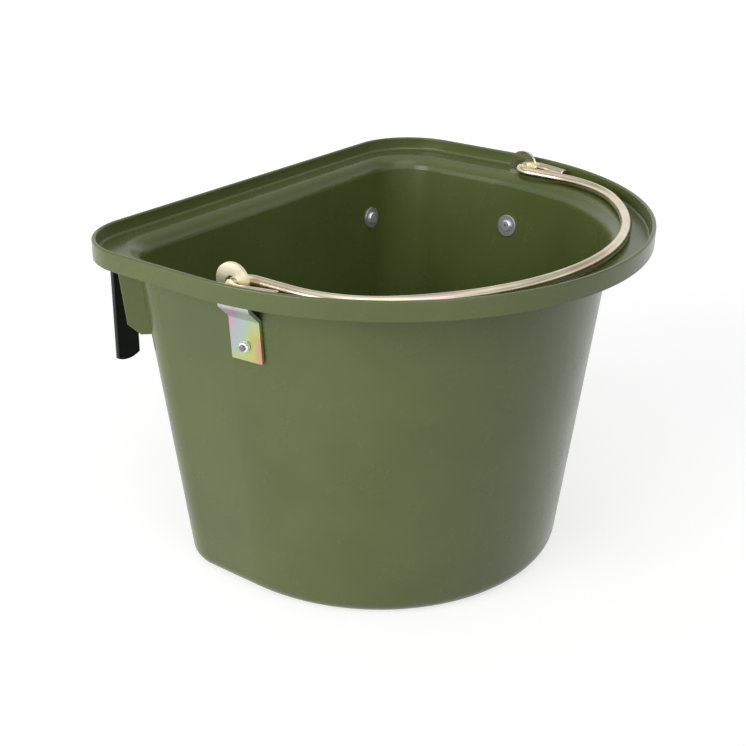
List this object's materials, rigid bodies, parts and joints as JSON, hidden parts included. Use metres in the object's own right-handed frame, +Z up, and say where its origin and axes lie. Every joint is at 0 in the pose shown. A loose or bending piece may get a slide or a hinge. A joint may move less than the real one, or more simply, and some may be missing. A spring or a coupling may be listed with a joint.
{
  "type": "horse feed bucket",
  "caption": "Flat-backed moulded feed bucket with a lipped rim, a swinging steel bail handle in riveted strip brackets, and coated steel hooks for hanging on a rail or stable door.",
  "frame": {"origin": "on the floor under the middle of the whole bucket's length, width and height box, hooks included", "axes": "+X to the bucket's right seen from its round front, +Y to the flat back with the hooks, +Z up"},
  "size_m": [0.39, 0.3422, 0.2641],
  "materials": {
    "shell": "semi-gloss moulded polypropylene, olive green",
    "bail": "yellow zinc-passivated steel rod",
    "bracket": "zinc-passivated steel strip, faintly iridescent",
    "washer": "bright zinc-plated steel",
    "rivet": "bright aluminium blind rivet",
    "mandrel": "bright steel rivet mandrel",
    "hook": "semi-gloss black plastic coating on steel strap"
  },
  "bodies": {
    "bucket": {"bucket_shell": "shell", "handle_bracket_left": "bracket", "bracket_washer_left": "washer", "bracket_rivet_left": "rivet", "bracket_rivet_mandrel_left": "mandrel", "hook_left": "hook", "hook_washer_left": "washer", "hook_rivet_left": "rivet", "hook_rivet_mandrel_left": "mandrel", "handle_bracket_right": "bracket", "bracket_washer_right": "washer", "bracket_rivet_right": "rivet", "bracket_rivet_mandrel_right": "mandrel", "hook_right": "hook", "hook_washer_right": "washer", "hook_rivet_right": "rivet", "hook_rivet_mandrel_right": "mandrel"},
    "handle": {"handle": "bail"}
  },
  "joints": [
    {"name": "handle_swing", "type": "hinge", "parent": "bucket", "child": "handle", "pos_m": [0, 0.00685, 0.2504], "axis": [-1, 0, 0], "range_deg": [0, 175.6]}
  ]
}
